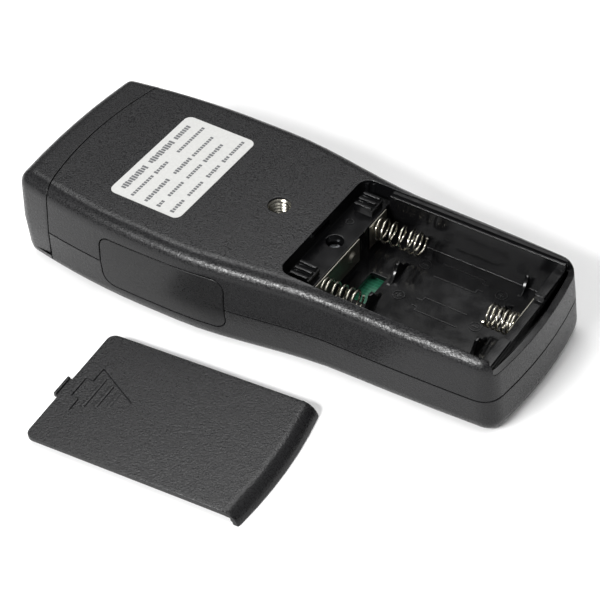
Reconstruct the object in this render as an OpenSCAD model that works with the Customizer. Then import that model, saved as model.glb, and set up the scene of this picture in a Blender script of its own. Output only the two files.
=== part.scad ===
// Handheld ultrasonic thickness gauge, lying on its front, with the battery cover off.
// X runs along the length with the battery end at +X, Z is up, and the front lies on z = 0.

/* [Body] */
// Length of the body, end to end
body_l = 178.4; // [172:0.2:200]
// Greatest width, across the display
head_w = 72.6; // [68:0.2:80]
// Width at the sensor end
sensor_end_w = 61.4; // [56:0.2:66]
// Width of the grip
grip_w = 60.4; // [58:0.2:64]
// Width at the battery end
tail_w = 57.2; // [56:0.2:58.6]
// Distance of the greatest width from the sensor end
head_from_end = 54; // [48:0.5:62]
// Place where the shoulder starts to narrow
shoulder_x0 = -23; // [-26:1:-12]
// Place where the shoulder reaches the grip
shoulder_x1 = 34; // [26:1:45]
// How far the sensor end bows out
sensor_bow = 1.9; // [0.2:0.1:3]
// How far the battery end bows out
tail_bow = 3.1; // [0.4:0.1:4.5]
// Size of the corners at the sensor end
sensor_corner = 5; // [4:0.5:9]
// Size of the corners at the battery end
tail_corner = 6; // [4:0.5:8]
// Thickness at the middle of the length
mid_t = 31; // [30.6:0.1:36]
// Fall of the back towards the battery end, in degrees
back_tilt = 2.02; // [1:0.01:2.6]
// Height of the parting line at the middle of the length
part_mid = 14.6; // [13:0.1:15]
// Fall of the parting line towards the battery end, in degrees
part_tilt = 0.97; // [0:0.01:1.6]
// Radius of the edge round the back
back_r = 5.4; // [4.4:0.2:8]
// Radius of the edge round the front
front_r = 5; // [2.6:0.2:5.4]
// How far the front flares out at the battery end, past the parting line
tail_flare = 1; // [0:0.1:1.5]
// How far the battery end leans in between the front and the parting line
tail_lean = 1; // [0:0.1:2]
// Draft of the back moulding's walls, measured at the back edge
draft = 1; // [0:0.1:1.2]
// Draft of the front moulding's walls, measured at the front edge
front_draft = 0.45; // [0:0.05:0.8]
// Wall thickness of the mouldings
wall = 2.2; // [1.8:0.1:2.6]
// Gap along the seams between mouldings
seam_gap = 0.3; // [0.2:0.05:0.5]
// Height of the groove along the parting line
groove_h = 0.5; // [0.2:0.1:0.8]

/* [Sensor cap] */
// Distance of the cap's seam from the sensor end, at the middle
cap_l = 12.6; // [10:0.2:16]
// Radius of the seam in plan
seam_r = 119; // [90:1:200]
// Lean of the seam, in degrees
seam_lean = 4.7; // [0:0.1:6]
// Distance of the probe sockets from the middle
socket_y = 13; // [11:0.5:16]
// Height of the probe sockets
socket_z = 18; // [15:0.5:20]
// Outer diameter of a probe socket
socket_d = 10; // [8:0.5:12]
// Bore of a probe socket
socket_bore = 6; // [4:0.5:7]
// Diameter of a socket's centre pin
pin_d = 1.4; // [1:0.1:2]

/* [Side panels] */
// Length of a side panel
panel_l = 46.4; // [40:0.2:48]
// Height of a side panel
panel_h = 18.9; // [16:0.1:20]
// Distance of a panel's middle from the sensor end
panel_from_end = 61.8; // [60:0.1:64]
// Height of a panel's middle
panel_z = 16.1; // [15.6:0.1:16.6]
// Corner radius of a panel
panel_corner = 4; // [2:0.5:6]
// Thickness of a panel
panel_t = 1.4; // [1:0.1:1.6]

/* [Battery bay] */
// Diameter of a cell
cell_d = 14.5; // [14:0.1:14.6]
// Length of a cell
cell_l = 50.5; // [49:0.5:51]
// Spacing of the three cells
cell_pitch = 16.2; // [15.8:0.1:16.4]
// Room for springs and contacts along a cell
spring_room = 7.7; // [7:0.1:9]
// Clearance beside the outer cells
cell_side_gap = 0.2; // [0.1:0.05:0.4]
// Clearance under the cells
cell_floor_gap = 0.25; // [0.1:0.05:0.4]
// Depth of the cells' axes below the back
cell_axis_depth = 9.7; // [9.6:0.1:10]
// Length of the sunk ledge at the sensor side of the bay
ledge_l = 10.2; // [9:0.2:11]
// Depth of the ledge below the back
ledge_depth = 5.6; // [5.2:0.1:6.6]
// Width of the step along the rim that carries the cover
rim_step = 1.6; // [1.4:0.1:1.8]
// Depth of that step below the back
rim_depth = 2.2; // [2:0.1:2.4]
// Corner radius of the opening
bay_corner = 4; // [2:0.5:6]
// Wall thickness of the bay
bay_wall = 1.8; // [1.4:0.1:2]
// Thickness of the wall behind the battery-end contacts
end_wall_t = 3.4; // [2.8:0.1:4]
// Distance from that wall's outer face to the end of the body
lip_room = 6.8; // [6.2:0.1:7.2]
// Depth of that wall's top below the back
end_wall_depth = 5; // [4.6:0.1:5.4]
// Depth of the dip in the middle of that wall
dip_depth = 7.1; // [6:0.1:8]
// Half width of the dip
dip_hw = 10.4; // [8:0.2:14]
// Height of the ribs that cradle the cells
cradle_h = 4.8; // [3:0.1:5]
// Length of the window through the floor
window_l = 5.4; // [4:0.2:7]
// Width of the window through the floor
window_w = 13.2; // [10:0.2:14]

/* [Battery cover] */
// Thickness of the cover's plate
cover_t = 1.6; // [1.4:0.1:1.7]
// Gap round the cover in its opening
cover_gap = 1.2; // [0.6:0.05:1.3]
// Depth of the lip at the battery end, below the back
lip_depth = 4.6; // [4:0.1:5]
// Depth of the rails under the cover
rail_h = 1.5; // [1:0.1:2]
// Width of the latch tab
tab_w = 8; // [7:0.5:11]
// Reach of the latch tab past the cover's edge
tab_l = 3.4; // [2.6:0.2:5]
// Length of the arrow recess
arrow_l = 18.5; // [14:0.5:21]
// Width of the arrow recess
arrow_w = 19.5; // [15:0.5:24]
// Depth of the arrow recess
arrow_depth = 0.6; // [0.4:0.1:0.8]
// Place of the loose cover's middle along the length
loose_x = 2.1; // [-20:0.1:20]
// Distance of the loose cover's middle to the side
loose_y = 72.8; // [70:0.1:100]
// Turn of the loose cover, in degrees
loose_turn = 4.1; // [-8:0.1:8]

/* [Contacts] */
// Thickness of the contact plates
plate_t = 0.4; // [0.3:0.05:0.6]
// Side of a single contact plate
plate_w = 10; // [8:0.5:11]
// Outer diameter of a spring
spring_d = 8; // [7:0.1:9]
// Wire diameter of a spring
wire_d = 0.75; // [0.6:0.05:0.9]
// Length of the near spring
near_spring_l = 12.5; // [11:0.5:16]
// Length of the middle spring
middle_spring_l = 9.5; // [8:0.5:14]
// Length of the far spring
far_spring_l = 16; // [11:0.2:19]
// Turns of a spring
spring_turns = 7; // [5:0.5:8]

/* [Back fittings] */
// Distance of the threaded insert from the bay
insert_to_bay = 15.8; // [13:0.1:18]
// Thread diameter of the insert
insert_bore = 6.35; // [6:0.05:6.5]
// Outer diameter of the insert
insert_d = 9.4; // [8.6:0.1:10]
// Length of the insert
insert_l = 8; // [6:0.5:9]
// Diameter of the hole in the back over the insert
insert_eye = 7.4; // [6.8:0.1:8]
// Length of the label, along the body
label_l = 27; // [20:0.5:30]
// Width of the label
label_w = 44; // [40:0.5:48]
// Distance of the label's middle from the sensor end
label_from_end = 47.4; // [46:0.1:52]
// Offset of the label's middle to the near side
label_y = -0.2; // [-3:0.1:3]
// Thickness of the label
label_t = 0.2; // [0.1:0.05:0.4]

/* [Front fittings] */
// Length of the display lens, along the body
lens_l = 40; // [34:1:44]
// Width of the display lens
lens_w = 50; // [44:1:54]
// Distance of the display's middle from the sensor end
lens_from_end = 47.5; // [44:0.5:50]
// Thickness of the lens
lens_t = 1.5; // [1:0.1:1.6]
// Thickness of the display module
lcd_t = 3.2; // [2.6:0.1:3.6]
// Width of a key
key_w = 13; // [10:0.5:14]
// Length of a key, along the body
key_l = 8; // [6:0.5:9]
// Travel of a key
key_travel = 0.8; // [0.4:0.1:1]
// Diameter of the test block
block_d = 18; // [14:0.5:20]
// Thickness of the test block
block_t = 4; // [3:0.2:4.4]
// Distance of the test block's middle from the battery end
block_to_end = 23.5; // [21:0.5:27]
// Thickness of the circuit board
board_t = 1.6; // [1.2:0.1:2]
// Height of the circuit board's lower face
board_z = 7.4; // [7.2:0.1:7.6]
// Diameter of the board's screws
screw_d = 2.4; // [2:0.1:3]

/* [Hidden] */
$fn = 64;

// Outline steps along a side, round a corner and across half an end
side_steps = 22;
corner_steps = 6;
end_steps = 3;
// Width at which an end's bow is measured
bow_ref = 30;
// Smallest corner of an inset outline
least_corner = 1.2;
// How far cutting tools reach past the body
reach = 60;
// Overlap that lets two joined shapes share material
bite = 0.2;

// Places along the length, from the sensor end and from the battery end
head_x = head_from_end - body_l / 2;
panel_x = panel_from_end - body_l / 2;
label_x = label_from_end - body_l / 2;
lens_x = lens_from_end - body_l / 2;
block_x = body_l / 2 - block_to_end;
// Place where the flare starts
flare_x = -20;

// Slopes of the back and of the parting plane
back_slope = -tan(back_tilt);
part_slope = -tan(part_tilt);

// Bay places along the length, from the battery end inwards
end_wall_x1 = body_l / 2 - lip_room;
tail_x = end_wall_x1 - end_wall_t;
contact_x = tail_x - cell_l - spring_room;
bay_x0 = contact_x - ledge_l;
insert_x = bay_x0 - insert_to_bay;
// Bay sizes across and down
cavity_hw = cell_pitch + cell_d / 2 + cell_side_gap;
opening_hw = cavity_hw + rim_step;
cavity_depth = cell_axis_depth + cell_d / 2 + cell_floor_gap;
lip_gap = 0.8;
notch_depth = lip_depth + lip_gap;
// Depth of the channel that takes the cover's lip
channel_depth = 9;
cell_y = [-cell_pitch, 0, cell_pitch];
window_x = contact_x + 5.1;
window_y = -window_w * 0.66;

// Place of the case screw in the ledge, and sizes of its column
screw_x = bay_x0 + ledge_l * 0.45;
screw_hole = 5.8;
column_d = 8.6;
column_depth = 13;
head_depth = 10.5;
case_screw_d = 2.8;
case_head_d = 4.4;
case_head_h = 1.6;
screw_clear = 0.15;

// Depths of the contact plates' tops, just under the edges of their walls
sensor_plate_top = ledge_depth + 0.15;
tail_plate_top = dip_depth + 0.3;

// Cover places
cover_x0 = bay_x0 + cover_gap;
cover_hw = opening_hw - cover_gap;
rail_w = 1.5;
rail_y = cavity_hw - cover_gap - rail_w;
rail_x0 = contact_x + 1.5;
rail_x1 = tail_x - 2;
// Depth of the tab's top, its thickness, its hooked lip and the play in its slot
tab_depth = 2.8;
tab_t = 1;
tab_lip = 0.7;
tab_play = 0.3;
tab_root = 6;

// Probe sockets: flange, depth of the bore and thickness of its floor
flange_t = 1.2;
socket_depth = 9;
socket_floor = 2;
pin_tail = 4;

// Key rows
key_gap = 0.3;
key_row = [11, 27, 27, 43, 43];
key_x = [for (r = key_row) lens_x + lens_l / 2 + r];
key_y = [0, 11.5, -11.5, 11.5, -11.5];
key_flange = 1.2;
key_flange_t = 0.9;
key_recess = 0.5;
key_h = 3.6;
board_hw_head = 27.5;
board_hw_grip = 24;
board_x0 = cap_l + 8 - body_l / 2;
board_xm = shoulder_x0 + 24;
board_x1 = 58;
stud_d = 5.4;
stud_x = [board_x0 + 5, lens_x + lens_l / 2 + 14, 46];
stud_y = [23, 23, 20];
board_head_d = 4.2;
board_head_h = 1;
screw_grip = 3.5;
case_screw_end = 4;

// Half width of the plan outline at a place along the length
function smooth(t) = let (c = max(0, min(1, t))) c * c * (3 - 2 * c);
function half_width(x) =
    head_w / 2
    - (head_w - sensor_end_w) / 2 * pow(max(0, head_x - x) / (head_x + body_l / 2), 2)
    - (head_w - grip_w) / 2 * smooth((x - shoulder_x0) / (shoulder_x1 - shoulder_x0))
    - (grip_w - tail_w) / 2 * pow(max(0, x - shoulder_x1) / (body_l / 2 - shoulder_x1), 2);

// Bowed end of the outline, inset by d; side is 1 at the battery end and -1 at the sensor end
function bow(side) = side > 0 ? tail_bow : sensor_bow;
function end_x(side, y, d) = side * (body_l / 2 - d - bow(side) * pow(y / bow_ref, 2));

// Sharp corner of the inset outline, the size of its rounding, and the rounded stretch from end to side
function corner_x(side, d) = end_x(side, half_width(side * body_l / 2) - d, d);
function corner_y(side, d) = half_width(corner_x(side, d)) - d;
function corner_r(side, d) = max(least_corner, (side > 0 ? tail_corner : sensor_corner) - d);
function corner_arc(side, d) =
    let (
        x = corner_x(side, d),
        y = corner_y(side, d),
        r = corner_r(side, d),
        a = [end_x(side, y - r, d), y - r],
        b = [x - side * r, half_width(x - side * r) - d]
    )
    [for (i = [0:corner_steps]) let (t = i / corner_steps)
        (1 - t) * (1 - t) * a + 2 * t * (1 - t) * [x, y] + t * t * b];

// Far half of the outline from the battery end to the sensor end, then the whole outline
function half_outline(d) =
    let (
        yt = corner_y(1, d) - corner_r(1, d),
        ys = corner_y(-1, d) - corner_r(-1, d),
        xt = corner_x(1, d) - corner_r(1, d),
        xs = corner_x(-1, d) + corner_r(-1, d),
        sensor = corner_arc(-1, d)
    )
    concat(
        [for (i = [0:end_steps - 1]) let (y = yt * i / end_steps) [end_x(1, y, d), y]],
        corner_arc(1, d),
        [for (i = [1:side_steps - 1]) let (x = xt + (xs - xt) * i / side_steps) [x, half_width(x) - d]],
        [for (i = [corner_steps:-1:0]) sensor[i]],
        [for (i = [end_steps - 1:-1:0]) let (y = ys * i / end_steps) [end_x(-1, y, d), y]]
    );
function outline(d) =
    let (h = half_outline(d))
    concat(h, [for (i = [len(h) - 2:-1:1]) [h[i].x, -h[i].y]]);

// Outline point moved out by k at the battery end, fading to nothing at flare_x
function flared(p, k) =
    let (t = max(0, p.x - flare_x) / (body_l / 2 - flare_x))
    [p.x * (1 + k * t / (body_l / 2)), p.y];

// Solid through a stack of outlines; a layer is its height at x = 0, its slope, its inset and its flare
module loft(layers) {
    rings = [for (l = layers)
        [for (q = outline(l[2])) let (p = flared(q, l[3])) [p.x, p.y, l[0] + l[1] * p.x]]];
    n = len(rings[0]);
    m = len(rings);
    walls = [for (k = [0:m - 2], i = [0:n - 1])
        let (a = k * n + i, b = k * n + (i + 1) % n)
        each [[a, a + n, b + n], [a, b + n, b]]];
    polyhedron(
        points = [for (r = rings) each r],
        faces = concat([[for (i = [0:n - 1]) i]], walls, [[for (i = [n - 1:-1:0]) (m - 1) * n + i]])
    );
}

// Layers of the back's rounded edge and of the front's, moved inwards by t
function back_layers(t, step) = [for (a = [0:step:90])
    [mid_t - t - (back_r - t) * (1 - sin(a)), back_slope,
        draft + t + (back_r - t) * (1 - cos(a)), -tail_lean]];
function front_layers(t, step) = [for (a = [90:-step:0]) let (z = t + (front_r - t) * (1 - sin(a)))
    [z, 0, front_draft + t + (front_r - t) * (1 - cos(a)),
        tail_flare - (tail_flare + tail_lean) * z / part_mid]];
function part_layer(dz, t) = [part_mid + dz, part_slope, t, -tail_lean];

// The whole body moved inwards by t, and its side walls alone
module body_form(t, front_step, back_step) {
    loft(concat(front_layers(t, front_step), [part_layer(0, t)], back_layers(t, back_step)));
}
module wall_form(t) {
    back = back_layers(t, 30);
    loft([front_layers(t, 90)[1], part_layer(0, t), back[0], back[1]]);
}

// Everything on the battery side of the cap's seam, pulled back by g
module seam_side(g) {
    translate([cap_l - body_l / 2 + seam_r, 0, mid_t])
        rotate([0, seam_lean, 0])
            cylinder(h = 4 * reach, r = seam_r - g, center = true, $fn = 180);
}

// Places children in the back's own frame: z = 0 is the back, and depths are negative
module on_back() {
    translate([0, 0, mid_t])
        rotate([0, back_tilt, 0])
            children();
}

// Box between two places along the length, two half widths' lines and two depths
module block(x0, x1, y0, y1, d0, d1) {
    translate([x0, y0, -d1])
        cube([x1 - x0, y1 - y0, d1 - d0]);
}

// Post or hole along the back's normal, between two depths
module post(x, y, d, d0, d1) {
    translate([x, y, -d1])
        cylinder(h = d1 - d0, d = d);
}

// Arc points, a rectangle with all corners round, and one with round corners at x0 only
function arc(x, y, r, a0) = [for (i = [0:corner_steps]) let (a = a0 + 90 * i / corner_steps)
    [x + r * cos(a), y + r * sin(a)]];
function round_box(x0, x1, y0, y1, r) = concat(
    arc(x1 - r, y1 - r, r, 0), arc(x0 + r, y1 - r, r, 90),
    arc(x0 + r, y0 + r, r, 180), arc(x1 - r, y0 + r, r, 270)
);
function tongue(x0, x1, hw, r) = concat(
    [[x1, -hw], [x1, hw]], arc(x0 + r, hw - r, r, 90), arc(x0 + r, r - hw, r, 180)
);
module prism(points, d0, d1) {
    translate([0, 0, -d1])
        linear_extrude(d1 - d0)
            polygon(points);
}

// Prism of a side panel's outline, grown by g, on one side of the body
module panel_prism(side, g) {
    hl = panel_l / 2 + g;
    hh = panel_h / 2 + g;
    translate([panel_x, side > 0 ? reach : -head_w / 4, panel_z])
        rotate([90, 0, 0])
            linear_extrude(reach - head_w / 4)
                polygon(round_box(-hl, hl, -hh, hh, panel_corner + g));
}

// Pockets for both panels, and the thicker wall behind them
module panel_pockets() {
    for (side = [-1, 1])
        difference() {
            panel_prism(side, seam_gap);
            wall_form(panel_t + seam_gap);
        }
}
module panel_backing() {
    back = panel_t + wall + seam_gap;
    margin = wall + panel_corner;
    for (side = [-1, 1])
        translate([panel_x - panel_l / 2 - margin, side > 0 ? head_w / 2 - back : -reach, 0])
            cube([panel_l + 2 * margin, reach - head_w / 2 + back, reach]);
}

// Solid parts inside the back moulding: bay walls, lip channel floor, insert boss and screw column
module bay_solid() {
    hw = cavity_hw + bay_wall;
    block(bay_x0 - bay_wall, end_wall_x1, -hw, hw, 0, ledge_depth + bay_wall);
    block(contact_x - bay_wall, end_wall_x1, -hw, hw, 0, reach);
    block(end_wall_x1 - bite, body_l, -reach, reach, channel_depth, channel_depth + bay_wall);
    post(insert_x, 0, insert_d + 2 * bay_wall, 0, insert_l + 2 * bay_wall);
    post(screw_x, 0, column_d, ledge_depth, column_depth);
}

// Spaces cut into the back moulding, all from the back
module bay_space() {
    prism(tongue(bay_x0, body_l, opening_hw, bay_corner), -1, rim_depth);
    prism(tongue(bay_x0, contact_x, opening_hw, bay_corner), -1, ledge_depth);
    block(contact_x - bite, tail_x, -cavity_hw, cavity_hw, -1, cavity_depth);
    block(tail_x - bite, body_l, -cavity_hw, cavity_hw, -1, end_wall_depth);
    block(tail_x - bite, body_l, -dip_hw, dip_hw, -1, min(dip_depth, notch_depth));
    block(tail_x - bite, end_wall_x1 + bite, -dip_hw, dip_hw, -1, dip_depth);
    block(end_wall_x1, body_l, -opening_hw, opening_hw, -1, notch_depth);
    // window over the circuit board
    block(window_x, window_x + window_l, window_y, window_y + window_w, cavity_depth - 1, reach);
    // slot for the cover's latch tab
    block(bay_x0 - tab_l - tab_play, bay_x0 + bite, -tab_w / 2 - tab_play, tab_w / 2 + tab_play,
        tab_depth - tab_lip - tab_play, ledge_depth - 1);
    // holes over the insert and for the case screw
    post(insert_x, 0, insert_eye, -1, bay_wall);
    post(insert_x, 0, insert_d, bay_wall / 2, bay_wall / 2 + insert_l);
    post(screw_x, 0, screw_hole, ledge_depth - 1, head_depth);
    post(screw_x, 0, case_screw_d + 2 * screw_clear, head_depth - 1, reach);
}

// Small moulded features that stand in the bay
module bay_details() {
    pad_hw = 3.3;
    pad_y = opening_hw - pad_hw - 3.4;
    pad_x0 = bay_x0 + 2.1;
    pad_top = rim_depth + 1.1;
    rib_w = 1.2;
    for (side = [-1, 1]) {
        // ribbed pads under the cover's latch end
        block(pad_x0, contact_x - 1.4, side * pad_y - pad_hw, side * pad_y + pad_hw,
            pad_top, ledge_depth + bite);
        for (i = [-1:1])
            let (y = side * pad_y + i * (pad_hw - rib_w / 2))
                block(pad_x0, contact_x - 2, y - rib_w / 2, y + rib_w / 2, rim_depth, pad_top + bite);
        // upright ribs on the ledge's corner walls
        for (a = [52, 84])
            post(bay_x0 + bay_corner * (1 - cos(a)), side * (opening_hw - bay_corner * (1 - sin(a))),
                rib_w, 1, ledge_depth + bite);
    }
    // scalloped ribs that cradle the cells
    for (x = [contact_x + 11.9, tail_x - 9.3])
        difference() {
            block(x, x + rib_w, -cavity_hw - bite, cavity_hw + bite,
                cavity_depth - cradle_h, cavity_depth + bite);
            for (y = cell_y)
                translate([x - 1, y, -cell_axis_depth])
                    rotate([0, 90, 0])
                        cylinder(h = rib_w + 2, d = cell_d + 1);
        }
}

module rear_shell() {
    tub_hw = cavity_hw + bay_wall - bite;
    color("#3b3b3d") {
        difference() {
            union() {
                difference() {
                    intersection() {
                        loft(concat([part_layer(0, groove_h), part_layer(groove_h, 0)],
                            back_layers(0, 15)));
                        seam_side(0);
                    }
                    difference() {
                        loft(concat([part_layer(-1, wall)], back_layers(wall, 30)));
                        on_back() bay_solid();
                        panel_backing();
                    }
                }
                // bay floor, which hangs below the parting plane
                on_back()
                    block(contact_x - bay_wall + bite, end_wall_x1 - bite, -tub_hw, tub_hw,
                        cavity_depth - 5, cavity_depth + bay_wall);
            }
            on_back() bay_space();
            panel_pockets();
        }
        on_back() bay_details();
    }
}

// Studs for the board and the case screw inside the front moulding
module front_solid() {
    for (i = [0:len(stud_x) - 1], side = [-1, 1])
        translate([stud_x[i], side * stud_y[i], 0])
            cylinder(h = board_z, d = stud_d);
    intersection() {
        on_back() post(screw_x, 0, column_d - 1, column_depth + seam_gap, reach);
        translate([-reach, -reach, 0])
            cube([2 * reach, 2 * reach, reach]);
    }
    translate([block_x, 0, 0])
        cylinder(h = block_t + bay_wall, d = block_d + 2 * bay_wall);
    panel_backing();
}

// Openings in the front: display, keys, test block and screw holes
module front_space() {
    hl = lens_l / 2 + key_gap;
    hw = lens_w / 2 + key_gap;
    frame = 4;
    translate([lens_x, 0, 0]) {
        prism(round_box(-hl, hl, -hw, hw, 3), -lens_t - 0.25, 1);
        prism(round_box(frame - hl, hl - frame, frame - hw, hw - frame, 2), -wall - 1, 1);
    }
    for (i = [0:len(key_x) - 1])
        translate([key_x[i], key_y[i], 0])
            prism(key_outline(key_gap), -wall - 1, 1);
    translate([block_x, 0, -1])
        cylinder(h = block_t + 1 + 0.2, d = block_d + 2 * screw_clear);
    for (i = [0:len(stud_x) - 1], side = [-1, 1])
        translate([stud_x[i], side * stud_y[i], wall])
            cylinder(h = reach, d = screw_d + 2 * screw_clear);
    on_back() post(screw_x, 0, case_screw_d + 2 * screw_clear, column_depth, mid_t - wall - 2);
}

module front_shell() {
    color("#39393b")
        difference() {
            intersection() {
                loft(concat(front_layers(0, 22.5), [part_layer(0, 0)]));
                seam_side(0);
            }
            difference() {
                loft(concat(front_layers(wall, 30), [part_layer(1, wall)]));
                front_solid();
            }
            front_space();
            panel_pockets();
            // room for the bay floor, which hangs below the parting plane
            on_back()
                block(contact_x - 2 * bay_wall, end_wall_x1 + seam_gap,
                    -cavity_hw - bay_wall - seam_gap, cavity_hw + bay_wall + seam_gap,
                    cavity_depth - 5, cavity_depth + bay_wall + seam_gap);
        }
}

module sensor_cap() {
    color("#3d3d3f")
        difference() {
            body_form(0, 22.5, 15);
            difference() {
                body_form(wall, 45, 45);
                for (side = [-1, 1])
                    translate([-body_l / 2, side * socket_y, socket_z])
                        rotate([0, 90, 0])
                            cylinder(h = cap_l / 2, d = socket_d + 2 * wall);
            }
            seam_side(-seam_gap);
            for (side = [-1, 1])
                translate([-body_l / 2 - 1, side * socket_y, socket_z])
                    rotate([0, 90, 0])
                        cylinder(h = reach, d = socket_d + 2 * screw_clear);
        }
}

module side_panel(side) {
    color("#3e3e40")
        intersection() {
            difference() {
                wall_form(0);
                wall_form(panel_t);
            }
            panel_prism(side, 0);
        }
}

module side_panel_near() {
    side_panel(-1);
}

module side_panel_far() {
    side_panel(1);
}

// Arrow recess with two shoulders towards the latch, and its grip ribs
module arrow_recess() {
    hw = arrow_w / 2;
    step = arrow_w / 7;
    x0 = cover_x0 + 3.6;
    translate([x0, 0, 0])
        difference() {
            prism([[0, -hw + 2 * step], [step, -hw + 2 * step], [step, -hw],
                [arrow_l, -1], [arrow_l, 1],
                [step, hw], [step, hw - 2 * step], [0, hw - 2 * step]], -1, arrow_depth);
            for (i = [0:2])
                let (x = step * (1.75 + 1.3 * i), y = (hw - 1) * (1 - x / arrow_l))
                    block(x, x + 1.3, -y, y, arrow_depth / 3, 1);
        }
}

// The cover in its closed place, in the back's frame
module cover_closed() {
    rotate([0, -back_tilt, 0])
        translate([0, 0, -mid_t])
            intersection() {
                difference() {
                    loft(concat([part_layer(0, 0)], back_layers(0, 15)));
                    loft(concat([part_layer(-1, cover_t)], back_layers(cover_t, 30)));
                }
                on_back()
                    difference() {
                        prism(tongue(cover_x0, body_l, cover_hw, bay_corner - cover_gap),
                            -1, lip_depth);
                        arrow_recess();
                        // the long edges are trimmed to lie on the rim
                        for (side = [-1, 1])
                            translate([0, side * (cavity_hw - cover_gap + reach), 0])
                                block(0, end_wall_x1 + seam_gap, -reach, reach, rim_depth - 0.1, reach);
                    }
            }
    // rails that locate the cover in the bay
    for (side = [-1, 1])
        block(rail_x0, rail_x1,
            side > 0 ? rail_y : -rail_y - rail_w, side > 0 ? rail_y + rail_w : -rail_y,
            cover_t - bite, cover_t + rail_h);
    // latch tab with its hooked lip, and the web that carries it
    block(cover_x0 - tab_l, cover_x0 + tab_root, -tab_w / 2, tab_w / 2, tab_depth, tab_depth + tab_t);
    block(cover_x0 - tab_l, cover_x0 - tab_l + tab_t, -tab_w / 2, tab_w / 2,
        tab_depth - tab_lip, tab_depth + bite);
    block(cover_x0 + tab_root - 2 * tab_t, cover_x0 + tab_root, -tab_w / 2, tab_w / 2,
        cover_t - bite, tab_depth + bite);
}

// The cover on the table beside the gauge, resting on its lip and on the end of its tab
module battery_cover() {
    tab_x = cover_x0 - tab_l;
    rest_depth = tab_depth + tab_t + 0.01;
    lip_x = body_l / 2 - tail_lean - draft - tail_bow * pow(cover_hw / bow_ref, 2);
    lean = atan((lip_depth - rest_depth) / (lip_x - cover_t - tab_x));
    color("#3a3a3c")
        translate([loose_x, -loose_y, 0])
            rotate([0, 0, loose_turn])
                translate([tab_x - (cover_x0 + lip_x) / 2, 0, 0])
                    rotate([0, -lean, 0])
                        translate([-tab_x, 0, rest_depth])
                            cover_closed();
}

module tripod_insert() {
    color("#c9c7bf")
        on_back()
            translate([insert_x, 0, -bay_wall / 2 - insert_l])
                difference() {
                    cylinder(h = insert_l, d = insert_d);
                    translate([0, 0, -1])
                        cylinder(h = insert_l + 2, d = insert_bore);
                }
}

module rating_label() {
    color("#f4f4f2")
        on_back()
            translate([label_x, label_y, 0])
                prism(round_box(-label_l / 2, label_l / 2, -label_w / 2, label_w / 2, 2.4),
                    -label_t, 0);
}

// Points of a spring's wire along +X, close wound at both ends
function spring_point(u, length) =
    let (r = (spring_d - wire_d) / 2, a = 360 * spring_turns * u)
    [wire_d / 2 + (length - wire_d) * (0.32 * u + 0.68 * smooth(u)), r * cos(a), r * sin(a)];

module spring(length) {
    sides = 4;
    rings = round(spring_turns * 9);
    du = 0.001;
    ring_points = [for (k = [0:rings]) let (
            u = k / rings,
            p = spring_point(u, length),
            t = spring_point(u + du, length) - spring_point(u - du, length),
            out = [0, p.y, p.z] / norm([0, p.y, p.z]),
            across = cross(t, out) / norm(cross(t, out))
        )
        each [for (i = [0:sides - 1]) let (a = 360 * i / sides)
            p + wire_d / 2 * (cos(a) * out + sin(a) * across)]];
    walls = [for (k = [0:rings - 1], i = [0:sides - 1])
        let (a = k * sides + i, b = k * sides + (i + 1) % sides)
        each [[a, a + sides, b + sides], [a, b + sides, b]]];
    polyhedron(
        points = ring_points,
        faces = concat([[for (i = [0:sides - 1]) i]], walls,
            [[for (i = [sides - 1:-1:0]) rings * sides + i]])
    );
}

// A spring on the sensor-end wall, and one on the battery-end wall
module sensor_spring(y, length) {
    color("#c8c4b4")
        on_back()
            translate([contact_x + plate_t, y, -cell_axis_depth])
                spring(length);
}

module spring_near() {
    sensor_spring(-cell_pitch, near_spring_l);
}

module spring_far() {
    sensor_spring(cell_pitch, far_spring_l);
}

module spring_middle() {
    color("#c8c4b4")
        on_back()
            translate([tail_x - plate_t, 0, -cell_axis_depth])
                rotate([0, 0, 180])
                    spring(middle_spring_l);
}

// Contact plate on a wall between two cells' axes, with its top at a depth and a raised button where
// given; dir points at the cells
module contact_plate(x, dir, top, y0, y1, button_y) {
    hw = plate_w / 2;
    button_d = min(0.45 * plate_w, 2 * (cell_axis_depth - top) - 0.2);
    button_h = 1;
    color("#c9c7bd")
        on_back() {
            block(min(x, x + dir * plate_t), max(x, x + dir * plate_t), y0 - hw, y1 + hw,
                top, cell_axis_depth + hw);
            for (y = button_y)
                translate([x + dir * plate_t / 2, y, -cell_axis_depth])
                    rotate([0, dir * 90, 0])
                        cylinder(h = button_h + plate_t / 2, d1 = button_d, d2 = button_d * 0.6);
        }
}

module contact_link_sensor() {
    contact_plate(contact_x, 1, sensor_plate_top, -cell_pitch, 0, [0]);
}

module contact_single_sensor() {
    contact_plate(contact_x, 1, sensor_plate_top, cell_pitch, cell_pitch, []);
}

module contact_link_tail() {
    contact_plate(tail_x, -1, tail_plate_top, 0, cell_pitch, [cell_pitch]);
}

module contact_single_tail() {
    contact_plate(tail_x, -1, tail_plate_top, -cell_pitch, -cell_pitch, [-cell_pitch]);
}

module main_board() {
    color("#1e7a4c")
        difference() {
            translate([0, 0, board_z])
                linear_extrude(board_t)
                    polygon([[board_x0, -board_hw_head], [board_xm, -board_hw_head],
                        [board_xm, -board_hw_grip], [board_x1, -board_hw_grip],
                        [board_x1, board_hw_grip], [board_xm, board_hw_grip],
                        [board_xm, board_hw_head], [board_x0, board_hw_head]]);
            on_back() post(screw_x, 0, column_d + 2, 0, reach);
            for (i = [0:len(stud_x) - 1], side = [-1, 1])
                translate([stud_x[i], side * stud_y[i], 0])
                    cylinder(h = reach, d = screw_d + 2 * screw_clear);
        }
}

module lcd_module() {
    color("#9aa79b")
        translate([lens_x, 0, 0])
            prism(round_box(-lens_l / 2 + 1, lens_l / 2 - 1, -lens_w / 2 + 1, lens_w / 2 - 1, 1),
                -wall - lcd_t, -wall);
}

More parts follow.
